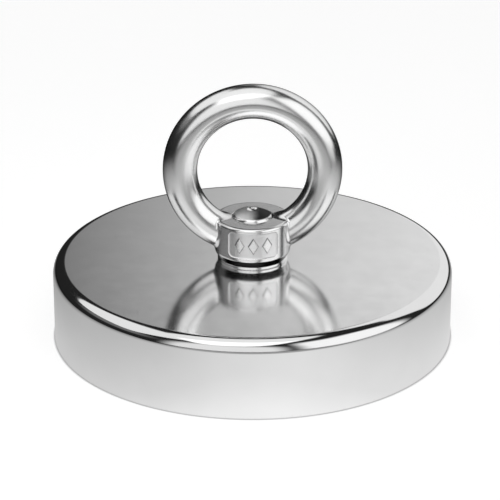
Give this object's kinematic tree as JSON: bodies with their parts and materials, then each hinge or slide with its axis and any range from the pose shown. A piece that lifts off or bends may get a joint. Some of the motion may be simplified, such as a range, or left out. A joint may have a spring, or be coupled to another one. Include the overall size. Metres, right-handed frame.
{
  "type": "magnet fishing magnet",
  "caption": "Round nickel-plated pot magnet with a cast eye nut on a countersunk through bolt, for pulling steel objects out of water on a rope.",
  "frame": {"origin": "centre of the working face, in the plane of the cup's rim", "axes": "+Z from the working face up through the bolt to the top of the eye; the eye's hole runs along Y; the marked panel on the collar faces -Y"},
  "size_m": [0.09, 0.09, 0.0592],
  "materials": {
    "cup_nickel": "satin nickel plate on steel",
    "magnet_nickel": "dull nickel plate on sintered magnet",
    "pole_nickel": "ground, nickel plated",
    "epoxy": "cast black epoxy",
    "adhesive": "cured adhesive film",
    "bolt_stainless": "bright stainless steel",
    "washer_steel": "bright stainless steel",
    "eye_stainless": "polished investment casting"
  },
  "bodies": {
    "pot": {"pot_cup": "cup_nickel", "ring_magnet": "magnet_nickel", "centre_pole": "pole_nickel", "outer_potting_ring": "epoxy", "inner_potting_ring": "epoxy", "magnet_bond_layer": "adhesive", "countersunk_bolt": "bolt_stainless"},
    "washer": {"lock_washer": "washer_steel"},
    "eye": {"eye_nut": "eye_stainless"}
  },
  "joints": [
    {"name": "eye_nut_turn", "type": "hinge", "parent": "pot", "child": "washer", "pos_m": [0, 0, 0.018], "axis": [0, 0, 1], "range_deg": [0, 2160]},
    {"name": "eye_nut_rise", "type": "slide", "parent": "washer", "child": "eye", "axis": [0, 0, 1], "range_m": [0, 0.0091]}
  ],
  "couplings": [
    {"joint": "eye_nut_rise", "follows": "eye_nut_turn", "m_per_rad": 0.00023873}
  ]
}
